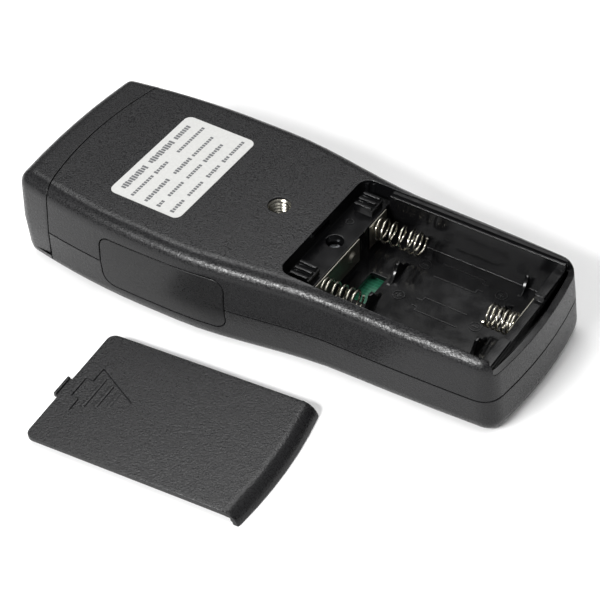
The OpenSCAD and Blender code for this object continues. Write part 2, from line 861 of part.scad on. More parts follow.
module lcd_lens() {
    color("#20242a")
        translate([lens_x, 0, 0])
            prism(round_box(-lens_l / 2, lens_l / 2, -lens_w / 2, lens_w / 2, 3 - key_gap),
                -lens_t - 0.25, -0.25);
}

// Conductive strips between the display and the board
module contact_strip() {
    strip_w = 2.4;
    color("#d9779b")
        for (side = [-1, 1])
            translate([lens_x + side * (lens_l / 2 - 3), 0, 0])
                block(-strip_w / 2, strip_w / 2, -lens_w / 2 + 4, lens_w / 2 - 4,
                    -board_z, -wall - lcd_t);
}

// Key outline in plan, grown by g, and one key with its flange inside the case
function key_outline(g) = round_box(-key_l / 2 - g, key_l / 2 + g, -key_w / 2 - g, key_w / 2 + g, 2);
module key(i) {
    color("#7d7f83")
        translate([key_x[i], key_y[i], 0]) {
            prism(key_outline(0), -key_h - key_recess, -key_recess);
            prism(key_outline(key_flange), -wall - key_gap - key_flange_t, -wall - key_gap);
        }
}

module key_1() {
    key(0);
}

module key_2() {
    key(1);
}

module key_3() {
    key(2);
}

module key_4() {
    key(3);
}

module key_5() {
    key(4);
}

// Rubber mat on the board, with a dome over each key
module key_mat() {
    mat_t = 1;
    margin = 8;
    half = (max(key_x) - min(key_x) + margin) / 2;
    dome_z = key_recess + key_h + key_travel + key_gap;
    color("#a9aaa6") {
        translate([(min(key_x) + max(key_x)) / 2, 0, 0])
            difference() {
                prism(round_box(-half, half, -max(key_y) - margin, max(key_y) + margin, 2),
                    -board_z, mat_t - board_z);
                translate([-(min(key_x) + max(key_x)) / 2, 0, 0])
                    on_back() post(screw_x, 0, column_d + 2, 0, reach);
            }
        for (i = [0:len(key_x) - 1])
            translate([key_x[i], key_y[i], dome_z])
                cylinder(h = board_z - mat_t / 2 - dome_z, d = 4);
    }
}

module test_block() {
    color("#b9bbbd")
        translate([block_x, 0, 0.2])
            cylinder(h = block_t, d = block_d);
}

// Probe socket: a turned sleeve with a flange outside and a bore that takes the plug
module probe_socket(side) {
    color("#c4c2ba")
        translate([-body_l / 2 - flange_t, side * socket_y, socket_z])
            rotate([0, 90, 0])
                difference() {
                    union() {
                        cylinder(h = flange_t, d = socket_d + 2);
                        cylinder(h = socket_depth + socket_floor, d = socket_d);
                    }
                    translate([0, 0, -1])
                        cylinder(h = socket_depth + 1, d = socket_bore);
                    cylinder(h = reach, d = pin_d + 2 * screw_clear);
                }
}

module probe_socket_transmit() {
    probe_socket(-1);
}

module probe_socket_receive() {
    probe_socket(1);
}

// Centre contacts of the two sockets, flush with the bottoms of their bores
module socket_pins() {
    color("#d1b45c")
        for (side = [-1, 1])
            translate([socket_depth - flange_t - body_l / 2, side * socket_y, socket_z])
                rotate([0, 90, 0])
                    cylinder(h = socket_floor + pin_tail, d = pin_d);
}

module case_screw() {
    color("#8f9194")
        on_back() {
            post(screw_x, 0, case_head_d, head_depth - case_head_h, head_depth);
            post(screw_x, 0, case_screw_d, head_depth - bite, mid_t - wall - case_screw_end);
        }
}

module board_screws() {
    color("#8f9194")
        for (i = [0:len(stud_x) - 1], side = [-1, 1])
            translate([stud_x[i], side * stud_y[i], board_z + board_t]) {
                cylinder(h = board_head_h, d = board_head_d);
                translate([0, 0, -board_t - screw_grip])
                    cylinder(h = board_t + screw_grip + bite, d = screw_d);
            }
}

rear_shell();
front_shell();
sensor_cap();
side_panel_near();
side_panel_far();
battery_cover();
tripod_insert();
rating_label();
spring_near();
spring_middle();
spring_far();
contact_link_sensor();
contact_single_sensor();
contact_link_tail();
contact_single_tail();
main_board();
lcd_module();
lcd_lens();
contact_strip();
key_mat();
key_1();
key_2();
key_3();
key_4();
key_5();
test_block();
probe_socket_transmit();
probe_socket_receive();
socket_pins();
case_screw();
board_screws();
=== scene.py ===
"""Looks of a handheld ultrasonic thickness gauge that lies on its front with its battery cover off."""

import math

import bpy
from mathutils import Matrix, Vector


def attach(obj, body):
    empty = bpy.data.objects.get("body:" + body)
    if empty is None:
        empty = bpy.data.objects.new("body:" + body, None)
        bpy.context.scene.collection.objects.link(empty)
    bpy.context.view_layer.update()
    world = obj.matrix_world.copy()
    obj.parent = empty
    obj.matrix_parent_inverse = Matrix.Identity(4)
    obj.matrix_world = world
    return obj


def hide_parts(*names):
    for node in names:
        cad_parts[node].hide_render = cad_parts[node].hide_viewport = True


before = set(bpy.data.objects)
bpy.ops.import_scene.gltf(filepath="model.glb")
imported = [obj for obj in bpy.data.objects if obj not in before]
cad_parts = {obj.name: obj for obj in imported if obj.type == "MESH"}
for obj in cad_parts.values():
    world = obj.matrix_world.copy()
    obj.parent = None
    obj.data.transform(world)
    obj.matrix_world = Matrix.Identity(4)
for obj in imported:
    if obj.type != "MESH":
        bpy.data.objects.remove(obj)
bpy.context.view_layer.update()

bl_info = {
    "name": "Thickness gauge looks",
    "version": (1, 0, 0),
    "blender": (4, 5, 0),
    "location": "View3D > Sidebar > Gauge",
    "description": "Dresses the packed thickness gauge with finished pieces, materials, light and a camera",
    "category": "Object",
}

MM = 0.001


def linear(hex_colour):
    """A colour written as sRGB hex, as linear red, green and blue with full alpha."""
    digits = hex_colour.lstrip("#")
    channels = [int(digits[i:i + 2], 16) / 255 for i in (0, 2, 4)]
    curved = [c / 12.92 if c <= 0.04045 else ((c + 0.055) / 1.055) ** 2.4 for c in channels]
    return (*curved, 1.0)


# Sizes and colours that a user would change

def length_property(name, description, default_mm):
    """A length in metres whose default is given in millimetres."""
    return bpy.props.FloatProperty(
        name=name, description=description, default=default_mm * MM, min=0.0, unit="LENGTH", precision=5)


def colour_property(name, description, hex_colour):
    """A colour whose default is given as sRGB hex."""
    return bpy.props.FloatVectorProperty(
        name=name, description=description, default=linear(hex_colour),
        size=4, min=0.0, max=1.0, subtype="COLOR")


class GaugeSizes(bpy.types.PropertyGroup):
    """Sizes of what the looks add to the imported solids."""

    back_height: length_property("Back height", "Height of the back at the middle of the length", 31.0)
    back_tilt: bpy.props.FloatProperty(
        name="Back tilt", description="Fall of the back towards the battery end",
        default=math.radians(2.02), subtype="ANGLE")
    edge_round: length_property("Edge round", "Radius of the moulded edges", 0.22)
    wire: length_property("Spring wire", "Diameter of the springs' wire", 0.75)
    spring_width: length_property("Spring width", "Outer diameter of a battery spring", 8.0)
    spring_turns: bpy.props.FloatProperty(
        name="Spring turns", description="Turns of a battery spring", default=6.0)
    thread_pitch: length_property("Thread pitch", "Distance between the insert's thread ridges", 1.27)
    mark_height: length_property("Mark height", "How far the bay floor's marks stand up", 0.18)


class GaugeColours(bpy.types.PropertyGroup):
    """Colours of the gauge's materials."""

    case: colour_property("Case", "Charcoal of the moulded case", "#1a1a1b")
    bay: colour_property("Bay", "Black of the battery bay", "#0b0b0c")
    film: colour_property("Label film", "White of the label", "#bdbdbb")
    ink: colour_property("Label ink", "Grey of the label's dashes", "#5a5b5d")
    nickel: colour_property("Nickel", "Nickel plate on the springs, contacts and insert", "#d3cfc2")
    mask: colour_property("Solder mask", "Green of the circuit board", "#2c6b52")
    display: colour_property("Display", "Grey-green of the display", "#8f9a8c")
    keys: colour_property("Keys", "Grey of the keys", "#77797c")


class GaugeStage(bpy.types.PropertyGroup):
    """The floor, the light and the camera."""

    floor_size: bpy.props.FloatProperty(
        name="Floor size", description="Side of the floor", default=6.0, unit="LENGTH")
    key_power: bpy.props.FloatProperty(
        name="Key light", description="Power of the light at the near side", default=16.0, unit="POWER")
    back_power: bpy.props.FloatProperty(
        name="Back light", description="Power of the light behind", default=6.5, unit="POWER")
    fill_power: bpy.props.FloatProperty(
        name="Fill light", description="Power of the light above", default=6.0, unit="POWER")
    sky: bpy.props.FloatProperty(
        name="Sky", description="Strength of the even light all round", default=0.22)
    lens: bpy.props.FloatProperty(
        name="Lens", description="Focal length of the camera", default=112.37, unit="CAMERA")


def sizes():
    """The sizes as the user has set them."""
    return bpy.context.scene.gauge_sizes


def on_back():
    """The back's own frame: z = 0 is the back, and depths are negative."""
    tilt = Matrix.Rotation(sizes().back_tilt, 4, "Y")
    return Matrix.Translation((0, 0, sizes().back_height)) @ tilt


def shift(x_mm, y_mm, z_mm=0.0):
    """A move given in millimetres."""
    return Matrix.Translation((x_mm * MM, y_mm * MM, z_mm * MM))


# Selecting and shaping, as by hand

def clear_selection():
    """Deselects everything, because an operator acts on all that is selected."""
    bpy.ops.object.select_all(action="DESELECT")


def take(obj):
    """Selects one object alone and makes it active."""
    clear_selection()
    obj.select_set(True)
    bpy.context.view_layer.objects.active = obj


def fresh(name):
    """Names and returns the object that an operator has just added."""
    obj = bpy.context.object
    obj.name = name
    obj.data.name = name
    return obj


def edit(obj):
    """Goes into edit mode on one object with all of it selected."""
    take(obj)
    bpy.ops.object.mode_set(mode="EDIT")
    bpy.ops.mesh.select_mode(type="VERT")
    bpy.ops.mesh.select_all(action="SELECT")


def leave():
    """Goes back to object mode."""
    bpy.ops.object.mode_set(mode="OBJECT")


def apply_all(obj):
    """Applies an object's modifiers in order."""
    take(obj)
    for name in [m.name for m in obj.modifiers]:
        bpy.ops.object.modifier_apply(modifier=name)


def place(obj, matrix):
    """Moves an object to its place and puts the place into its mesh."""
    take(obj)
    obj.matrix_world = matrix @ obj.matrix_world
    bpy.ops.object.transform_apply(location=True, rotation=True, scale=True)
    return obj


def join(objects, name):
    """Joins objects into the first one."""
    clear_selection()
    for obj in objects:
        obj.select_set(True)
    bpy.context.view_layer.objects.active = objects[0]
    bpy.ops.object.join()
    return fresh(name)


def twin(obj, matrix):
    """A copy of an object with its own mesh, at a place."""
    copy = bpy.data.objects.new(obj.name, obj.data.copy())
    bpy.context.scene.collection.objects.link(copy)
    copy.matrix_world = matrix
    return copy


def soft_edges(obj, angle=32):
    """Smooth shading across shallow edges, with the normals weighted by face size."""
    take(obj)
    bpy.ops.object.shade_smooth_by_angle(angle=math.radians(angle), keep_sharp_edges=False)
    weighted = obj.modifiers.new("face weighted normals", "WEIGHTED_NORMAL")
    weighted.keep_sharp = True
    weighted.weight = 80
    apply_all(obj)


def rounded_copy(node, name, edge):
    """A copy of a CAD node with merged points and whole flat faces, its sharp edges rounded."""
    obj = bpy.data.objects.new(name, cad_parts[node].data.copy())
    obj.data.name = name
    bpy.context.scene.collection.objects.link(obj)
    edit(obj)
    bpy.ops.mesh.remove_doubles(threshold=0.002 * MM)
    bpy.ops.mesh.dissolve_limited(angle_limit=math.radians(0.4), delimit=set())
    leave()
    bevel = obj.modifiers.new("edge round", "BEVEL")
    bevel.width = edge
    bevel.segments = 2
    bevel.limit_method = "ANGLE"
    bevel.angle_limit = math.radians(40)
    bevel.use_clamp_overlap = False
    bevel.miter_outer = "MITER_ARC"
    apply_all(obj)
    soft_edges(obj)
    return obj


def chain(name, points):
    """A chain of (radius, height) points in mm, each extruded from the one before, left in edit mode."""
    clear_selection()
    bpy.ops.mesh.primitive_plane_add(size=MM)
    obj = fresh(name)
    edit(obj)
    bpy.ops.mesh.merge(type="CENTER")
    bpy.ops.transform.translate(value=(points[0][0] * MM, 0, points[0][1] * MM))
    for (r0, z0), (r1, z1) in zip(points, points[1:]):
        step = ((r1 - r0) * MM, 0, (z1 - z0) * MM)
        bpy.ops.mesh.extrude_vertices_move(TRANSFORM_OT_translate={"value": step})
    return obj


def turned(name, profile, steps):
    """A turned piece: a chain of points spun about Z."""
    obj = chain(name, profile)
    bpy.ops.mesh.select_all(action="SELECT")
    bpy.ops.mesh.spin(steps=steps, angle=2 * math.pi, center=(0, 0, 0), axis=(0, 0, 1))
    bpy.ops.mesh.select_all(action="SELECT")
    bpy.ops.mesh.remove_doubles(threshold=0.001 * MM)
    bpy.ops.mesh.normals_make_consistent(inside=False)
    leave()
    return obj


def bar(name, x0, x1, y0, y1, z0, z1, corner):
    """A small block between two corners in mm, with its upright edges rounded."""
    clear_selection()
    bpy.ops.mesh.primitive_cube_add(size=1)
    obj = fresh(name)
    edit(obj)
    bpy.ops.transform.resize(value=((x1 - x0) * MM, (y1 - y0) * MM, (z1 - z0) * MM))
    bpy.ops.transform.translate(value=((x0 + x1) / 2 * MM, (y0 + y1) / 2 * MM, (z0 + z1) / 2 * MM))
    bpy.ops.mesh.select_all(action="DESELECT")
    bpy.ops.mesh.select_mode(type="EDGE")
    leave()
    for edge in obj.data.edges:
        first, second = (obj.data.vertices[i].co.z for i in edge.vertices)
        edge.select = abs(first - second) > 1e-6
    bpy.ops.object.mode_set(mode="EDIT")
    bpy.ops.mesh.bevel(offset=corner * MM, segments=6, affect="EDGES")
    leave()
    return obj


def dress(obj, *finishes):
    """Gives a piece its materials, by their names, in slot order."""
    obj.data.materials.clear()
    for name in finishes:
        obj.data.materials.append(finish_named(name))


def stand_for(obj, body, slot, *nodes):
    """Lets a piece ride on a body and stand for CAD nodes."""
    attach(obj, body)
    if nodes:
        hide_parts(*nodes)


# Materials

def start(name):
    """A new material with its node tree, its shader and the piece's own coordinates."""
    material = bpy.data.materials.new(name)
    material.use_nodes = True
    tree = material.node_tree
    shader = tree.nodes["Principled BSDF"]
    point = add(tree, "ShaderNodeTexCoord").outputs["Object"]
    return material, tree, shader, point


def add(tree, kind, values=None, links=None, stops=(), **settings):
    """One node with its settings, socket values and incoming links, and a ramp's (place, colour) stops."""
    node = tree.nodes.new(kind)
    for key, value in settings.items():
        setattr(node, key, value)
    for key, value in (values or {}).items():
        node.inputs[key].default_value = value
    for key, source in (links or {}).items():
        tree.links.new(source, node.inputs[key])
    for i, (position, colour) in enumerate(stops):
        node.color_ramp.elements[i].position = position
        node.color_ramp.elements[i].color = colour
    return node


def skin(tree, shader, ramps, height, strength, depth_mm):
    """Leads patterns to a shader, through ramps of two stops to its sockets and as bumps in mm."""
    for socket, (source, stops) in ramps.items():
        ramp = add(tree, "ShaderNodeValToRGB", links={"Fac": source}, stops=stops)
        tree.links.new(ramp.outputs["Color"], shader.inputs[socket])
    depth = {"Strength": strength, "Distance": depth_mm * MM}
    bump = add(tree, "ShaderNodeBump", depth, {"Height": height})
    tree.links.new(bump.outputs["Normal"], shader.inputs["Normal"])


def tint(colour, factor):
    """A colour made lighter or darker."""
    return (*[min(1.0, c * factor) for c in colour[:3]], 1.0)


def grey(value):
    """A neutral colour, or a roughness for a ramp."""
    return (value, value, value, 1.0)


def grained_abs(name, colour, grain_mm, depth_mm, rough):
    # Moulded ABS from an etched tool: a matte charcoal skin whose fine pebble grain breaks highlights.
    # The real grain is about 0.15 mm and too fine to show, so it is drawn about three times as coarse.
    material, tree, shader, point = start(name)
    fine = {"Scale": 1 / (grain_mm * MM), "Detail": 1.0, "Roughness": 0.5}
    grain = add(tree, "ShaderNodeTexNoise", fine, {"Vector": point}).outputs["Fac"]
    coarse = {"Scale": 0.7 / (grain_mm * MM), "Randomness": 1.0}
    pebble = add(tree, "ShaderNodeTexVoronoi", coarse, {"Vector": point}, feature="SMOOTH_F1")
    both = add(tree, "ShaderNodeMath", links={0: grain, 1: pebble.outputs["Distance"]}, operation="ADD")
    skin(tree, shader, {
        "Base Color": (grain, [(0.30, tint(colour, 0.82)), (0.72, tint(colour, 1.2))]),
        "Roughness": (grain, [(0.36, grey(rough - 0.1)), (0.66, grey(rough + 0.14))]),
    }, both.outputs[0], 1.0, depth_mm)
    shader.inputs["IOR"].default_value = 1.46
    shader.inputs["Specular IOR Level"].default_value = 0.32
    return material


def polished_abs(name, colour):
    # Moulded ABS from a polished tool: nearly black, with sharp highlights bent by the tool's slight waves.
    wave_mm, dust_mm = 5, 0.5
    material, tree, shader, point = start(name)
    broad = {"Scale": 1 / (wave_mm * MM), "Detail": 2.0}
    wave = add(tree, "ShaderNodeTexNoise", broad, {"Vector": point}).outputs["Fac"]
    fine = {"Scale": 1 / (dust_mm * MM), "Detail": 3.0}
    dust = add(tree, "ShaderNodeTexNoise", fine, {"Vector": point}).outputs["Fac"]
    skin(tree, shader, {
        "Base Color": (dust, [(0.35, tint(colour, 0.85)), (0.75, tint(colour, 1.25))]),
        "Roughness": (wave, [(0.3, grey(0.12)), (0.7, grey(0.2))]),
    }, wave, 0.4, 0.04)
    shader.inputs["IOR"].default_value = 1.46
    shader.inputs["Specular IOR Level"].default_value = 0.32
    return material


def plated_metal(name, colour, rough, mark_mm):
    # Plate on drawn wire, pressed strip or turned brass: a warm bright metal with faint tool marks.
    tarnish_mm = 3
    material, tree, shader, point = start(name)
    fine = {"Scale": 1 / (mark_mm * MM), "Detail": 4.0}
    marks = add(tree, "ShaderNodeTexNoise", fine, {"Vector": point}).outputs["Fac"]
    broad = {"Scale": 1 / (tarnish_mm * MM), "Detail": 2.0}
    tarnish = add(tree, "ShaderNodeTexNoise", broad, {"Vector": point}).outputs["Fac"]
    skin(tree, shader, {
        "Base Color": (tarnish, [(0.3, tint(colour, 0.86)), (0.7, tint(colour, 1.06))]),
        "Roughness": (marks, [(0.3, grey(rough - 0.06)), (0.7, grey(rough + 0.08))]),
    }, marks, 0.35, 0.02)
    shader.inputs["Metallic"].default_value = 1.0
    return material


def cast_plastic(name, colour, rough, speck_mm, depth_mm, ior=1.5):
    # Plain plastic, rubber, film or paper, moulded or cast: an even colour with a slight mottle.
    material, tree, shader, point = start(name)
    fine = {"Scale": 1 / (speck_mm * MM), "Detail": 3.0}
    speck = add(tree, "ShaderNodeTexNoise", fine, {"Vector": point}).outputs["Fac"]
    skin(tree, shader, {
        "Base Color": (speck, [(0.3, tint(colour, 0.94)), (0.7, tint(colour, 1.04))]),
        "Roughness": (speck, [(0.3, grey(rough - 0.03)), (0.7, grey(rough + 0.05))]),
    }, speck, 0.4, depth_mm)
    shader.inputs["IOR"].default_value = ior
    return material


def solder_mask(name, colour):
    # Solder mask over copper on glass fibre: a glossy green with the tracks lighter under the lacquer.
    track_mm = 4
    material, tree, shader, point = start(name)
    layout = {"Scale": 1 / (track_mm * MM), "Mortar Size": 0.04, "Brick Width": 0.9, "Row Height": 0.32,
              "Color1": grey(0.0), "Color2": grey(0.15), "Mortar": grey(1.0)}
    tracks = add(tree, "ShaderNodeTexBrick", layout, {"Vector": point}).outputs["Color"]
    skin(tree, shader, {
        "Base Color": (tracks, [(0.1, colour), (0.9, tint(colour, 1.7))]),
    }, tracks, 0.5, 0.05)
    shader.inputs["Roughness"].default_value = 0.3
    return material


def ground_steel(name, colour):
    # Ground and zinc-plated steel: a cool grey metal with fine straight grinding lines.
    line_mm, stretch = 4, 14
    material, tree, shader, point = start(name)
    along = add(tree, "ShaderNodeMapping", {"Scale": (1, stretch, stretch)}, {"Vector": point}).outputs[0]
    fine = {"Scale": 1 / (line_mm * MM), "Detail": 4.0}
    lines = add(tree, "ShaderNodeTexNoise", fine, {"Vector": along}).outputs["Fac"]
    skin(tree, shader, {
        "Base Color": (lines, [(0.3, tint(colour, 0.85)), (0.7, tint(colour, 1.1))]),
        "Roughness": (lines, [(0.3, grey(0.24)), (0.7, grey(0.4))]),
    }, lines, 0.3, 0.02)
    shader.inputs["Metallic"].default_value = 1.0
    return material


def finish_named(name):
    """A material by name, made on first use."""
    if name in bpy.data.materials:
        return bpy.data.materials[name]
    paint = bpy.context.scene.gauge_colours
    recipes = {
        "etched ABS": (grained_abs, paint.case, 0.45, 0.045, 0.30),
        "satin ABS": (grained_abs, tint(paint.case, 0.6), 0.4, 0.01, 0.33),
        "polished ABS": (polished_abs, paint.bay),
        "nickel wire": (plated_metal, paint.nickel, 0.20, 0.4),
        "nickel strip": (plated_metal, tint(paint.nickel, 0.4), 0.42, 0.6),
        "nickel turned": (plated_metal, tint(paint.nickel, 0.45), 0.24, 0.3),
        "gold plate": (plated_metal, linear("#d8b25a"), 0.22, 0.3),
        "label film": (cast_plastic, paint.film, 0.42, 0.8, 0.01),
        "printed ink": (cast_plastic, paint.ink, 0.5, 0.3, 0.01),
        "display glass": (cast_plastic, paint.display, 0.16, 6.0, 0.004),
        "printed border": (cast_plastic, linear("#17181a"), 0.12, 8.0, 0.003, 1.49),
        "conductive rubber": (cast_plastic, linear("#b9627f"), 0.7, 0.5, 0.03),
        "silicone rubber": (cast_plastic, linear("#a6a7a2"), 0.75, 0.5, 0.03),
        "moulded keys": (cast_plastic, paint.keys, 0.5, 0.35, 0.03),
        "matte paper": (cast_plastic, linear("#fafafa"), 0.85, 40.0, 0.001),
        "solder mask": (solder_mask, paint.mask),
        "ground steel": (ground_steel, linear("#b9bcbf")),
        "zinc plate": (ground_steel, linear("#a9acb0")),
    }
    make, *values = recipes[name]
    return make(name, *values)


# Pieces

class GAUGE_OT_housing(bpy.types.Operator):
    """Back moulding, front moulding and sensor cap with rounded edges, and a polished bay."""

    bl_idname = "gauge.housing"
    bl_label = "Housing"

    def execute(self, context):
        for node in ("rear_shell", "front_shell", "sensor_cap"):
            obj = rounded_copy(node, node + "_moulding", sizes().edge_round)
            dress(obj, "etched ABS", "polished ABS")
            if node == "rear_shell":
                self.polish_bay(obj)
            stand_for(obj, "gauge", "case", node)
        return {"FINISHED"}

    def polish_bay(self, obj):
        """Gives the second material to the faces within the bay's limits, in the back's frame and in mm."""
        bay_start, bay_side, bay_rim = 6, 25.3, -0.45
        tail_face, facing_out = 82.6, 0.3
        into_back = on_back().inverted()
        for face in obj.data.polygons:
            at = into_back @ face.center
            in_bay = bay_start * MM < at.x and abs(at.y) < bay_side * MM and at.z < bay_rim * MM
            normal = into_back.to_3x3() @ face.normal
            outside = normal.x > facing_out and at.x > tail_face * MM
            face.material_index = 1 if in_bay and not outside else 0


class GAUGE_OT_side_panels(bpy.types.Operator):
    """Two grip panels let into the sides."""

    bl_idname = "gauge.side_panels"
    bl_label = "Side panels"

    def execute(self, context):
        edge = sizes().edge_round * 1.4
        for node in ("side_panel_near", "side_panel_far"):
            obj = rounded_copy(node, node + "_moulding", edge)
            dress(obj, "satin ABS")
            stand_for(obj, "gauge", "panel", node)
        return {"FINISHED"}


class GAUGE_OT_battery_cover(bpy.types.Operator):
    """The battery cover that lies beside the gauge."""

    bl_idname = "gauge.battery_cover"
    bl_label = "Battery cover"

    def execute(self, context):
        obj = rounded_copy("battery_cover", "battery_cover_moulding", sizes().edge_round)
        dress(obj, "etched ABS")
        stand_for(obj, "cover", "cover", "battery_cover")
        return {"FINISHED"}


class GAUGE_OT_tripod_insert(bpy.types.Operator):
    """Threaded metal insert in the back: a turned sleeve and a screwed thread."""

    bl_idname = "gauge.tripod_insert"
    bl_label = "Tripod insert"

    def execute(self, context):
        pitch = sizes().thread_pitch / MM
        middle = -5.2
        top, low = -0.9, -8.9
        bore, mouth, shoulder, body = 3.2, 3.75, 4.5, 4.7
        root, crest, flank, ridges = 3.18, 2.63, 0.42, 5
        rounds = 48
        sleeve = turned("insert_sleeve", [
            (bore, low + 0.1), (shoulder, low + 0.1), (body, low + 0.3), (body, top - 0.3),
            (shoulder, top - 0.02), (mouth, top - 0.02),
            (bore + 0.05, top - 0.5), (bore, top - 0.6)], rounds)
        # one ridge of the thread, then screwed round and up
        foot = low + 0.3
        thread = chain("insert_thread", [
            (root, foot), (crest, foot + pitch * flank), (crest, foot + pitch * (1 - flank)),
            (root, foot + pitch)])
        leave()
        screw = thread.modifiers.new("thread", "SCREW")
        screw.angle = 2 * math.pi
        screw.screw_offset = pitch * MM
        screw.iterations = ridges
        screw.steps = rounds
        screw.render_steps = rounds
        screw.use_merge_vertices = True
        screw.merge_threshold = 0.002 * MM
        apply_all(thread)
        edit(thread)
        bpy.ops.mesh.remove_doubles(threshold=0.002 * MM)
        bpy.ops.mesh.normals_make_consistent(inside=True)
        leave()
        obj = place(join([sleeve, thread], "insert_turned"), on_back() @ shift(middle, 0))
        soft_edges(obj, angle=28)
        dress(obj, "nickel turned")
        stand_for(obj, "gauge", "insert", "tripod_insert")
        return {"FINISHED"}


class GAUGE_OT_rating_label(bpy.types.Operator):
    """White film label with rows of plain grey dashes."""

    bl_idname = "gauge.rating_label"
    bl_label = "Rating label"

    def execute(self, context):
        middle_x, middle_y = -41.8, -0.2
        half_length, half_width, thick, corner = 13.5, 22.0, 0.17, 2.4
        at = on_back() @ shift(middle_x, middle_y)
        film = bar("label_film", -half_length, half_length, -half_width, half_width, 0.0, thick, corner)
        place(film, at)
        soft_edges(film)
        dress(film, "label film")
        stand_for(film, "gauge", "label", "rating_label")
        # each row: its place along the body, its height, and the ends of its runs across the label
        big, small = 1.7, 1.15
        rows = [
            (-10.1, big, ((-18.9, -5.7), (-4.3, 8.0), (9.6, 17.9))),
            (-5.5, small, ((-20.4, -9.4), (-7.8, -0.4), (4.5, 19.4))),
            (-0.2, small, ((-20.4, -8.3), (-4.8, 4.2), (5.4, 17.0))),
            (4.6, small, ((-20.4, -16.5), (-14.6, -6.7), (-4.5, 4.0), (5.0, 15.0))),
            (9.8, small, ((-20.4, -13.4), (-11.3, -2.8), (-0.8, 6.5), (8.0, 11.0), (12.0, 20.0))),
        ]
        # one dash of unit height, copied along each run and stretched to its row, with some a third taller
        pitch, half_dash, taller = 1.15, 0.42, 1.35
        dash = bar("dash", -0.5, 0.5, -half_dash, half_dash, thick - 0.005, thick + 0.02, 0.12)
        dashes = []
        for x, height, runs in rows:
            for y0, y1 in runs:
                count = max(2, round((y1 - y0) / pitch))
                for i in range(count):
                    tall = height * (1.0 if (i * i + count) % 3 else taller)
                    middle = shift(x, y0 + (i + 0.5) * pitch)
                    dashes.append(twin(dash, middle @ Matrix.Diagonal((tall, 1, 1, 1))))
        bpy.data.objects.remove(dash)
        ink = place(join(dashes, "label_bars"), at)
        dress(ink, "printed ink")
        stand_for(ink, "gauge", "label")
        return {"FINISHED"}


class GAUGE_OT_springs(bpy.types.Operator):
    """Three battery springs of round wire, closer wound at both ends."""

    bl_idname = "gauge.springs"
    bl_label = "Battery springs"

    def execute(self, context):
        wire = sizes().wire
        radius = (sizes().spring_width - wire) / 2
        turns = sizes().spring_turns
        points_per_turn = 28
        count = int(turns * points_per_turn)
        # the share of the length that is wound evenly; the rest opens out towards the middle
        even = 0.32
        sensor_wall, tail_wall, cell_y, depth = 21.2, 78.6, 16.2, -9.7
        springs = [
            ("spring_near", sensor_wall, -cell_y, 12.5, 0.0),
            ("spring_far", sensor_wall, cell_y, 16.0, 0.0),
            ("spring_middle", tail_wall, 0.0, 9.5, math.pi),
        ]
        for node, x, y, length, facing in springs:
            clear_selection()
            bpy.ops.curve.primitive_nurbs_path_add()
            obj = fresh(node + "_wire")
            obj.data.splines.clear()
            spline = obj.data.splines.new("POLY")
            spline.points.add(count)
            for k, point in enumerate(spline.points):
                u = k / count
                run = even * u + (1 - even) * u * u * (3 - 2 * u)
                along = wire / 2 + (length * MM - wire) * run
                angle = 2 * math.pi * turns * u
                point.co = (along, radius * math.cos(angle), radius * math.sin(angle), 1.0)
            obj.data.bevel_depth = wire / 2
            obj.data.bevel_resolution = 4
            obj.data.use_fill_caps = True
            take(obj)
            bpy.ops.object.convert(target="MESH")
            obj = context.object
            place(obj, on_back() @ shift(x, y, depth) @ Matrix.Rotation(facing, 4, "Z"))
            soft_edges(obj, angle=60)
            dress(obj, "nickel wire")
            stand_for(obj, "gauge", "spring", node)
        return {"FINISHED"}


class GAUGE_OT_bay_marks(bpy.types.Operator):
    """Raised cell outlines and polarity signs on the bay's floor, and a round ejector mark on its ledge."""

    bl_idname = "gauge.bay_marks"
    bl_label = "Bay marks"

    def execute(self, context):
        floor, ledge = -17.2, -5.6
        line, sunk, corner = 0.32, 0.1, 0.1
        half = line / 2
        rise = sizes().mark_height / MM

        def stroke(x0, x1, y0, y1):
            return bar("stroke", x0, x1, y0, y1, floor - sunk, floor + rise, corner)

        def ring(radius, base):
            return turned("ring", [
                (radius - line, base - sunk), (radius - line * 0.8, base + rise),
                (radius - line * 0.2, base + rise), (radius, base - sunk)], 32)

        # one cell with its button towards +X: its sides, shoulders and button, and a sign beyond each end
        end, tip, half_cell, half_button = 7.4, 9.4, 3.2, 1.6
        plus, minus, arm, sign_radius = 14.9, -12.0, 1.0, 2.0
        strokes = []
        for side in (-1, 1):
            wide, slim = side * half_cell, side * half_button
            strokes.append(stroke(-end, end, wide - half, wide + half))
            strokes.append(stroke(end, tip, slim - half, slim + half))
            strokes.append(stroke(end - half, end + half, *sorted((slim, wide))))
        circle = ring(sign_radius, floor)
        for x in (plus, minus):
            strokes.append(twin(circle, shift(x, 0)))
            strokes.append(stroke(x - arm, x + arm, -half, half))
        strokes.append(stroke(plus - half, plus + half, -arm, arm))
        bpy.data.objects.remove(circle)
        cell = place(join(strokes, "cell_marks"), Matrix.Identity(4))
        # the ejector mark, and the cell's marks three times, the middle one turned round
        ejector_x, ejector_y, ejector_radius = 14.5, 10.0, 1.4
        cells = ((50.6, -16.2, 0.0), (53.2, 0.0, math.pi), (50.6, 16.2, 0.0))
        marks = [place(ring(ejector_radius, ledge), shift(ejector_x, ejector_y))]
        for x, y, turn in cells:
            marks.append(twin(cell, shift(x, y) @ Matrix.Rotation(turn, 4, "Z")))
        bpy.data.objects.remove(cell)
        obj = place(join(marks, "bay_marks"), on_back())
        soft_edges(obj)
        dress(obj, "satin ABS")
        stand_for(obj, "gauge", "case")
        return {"FINISHED"}


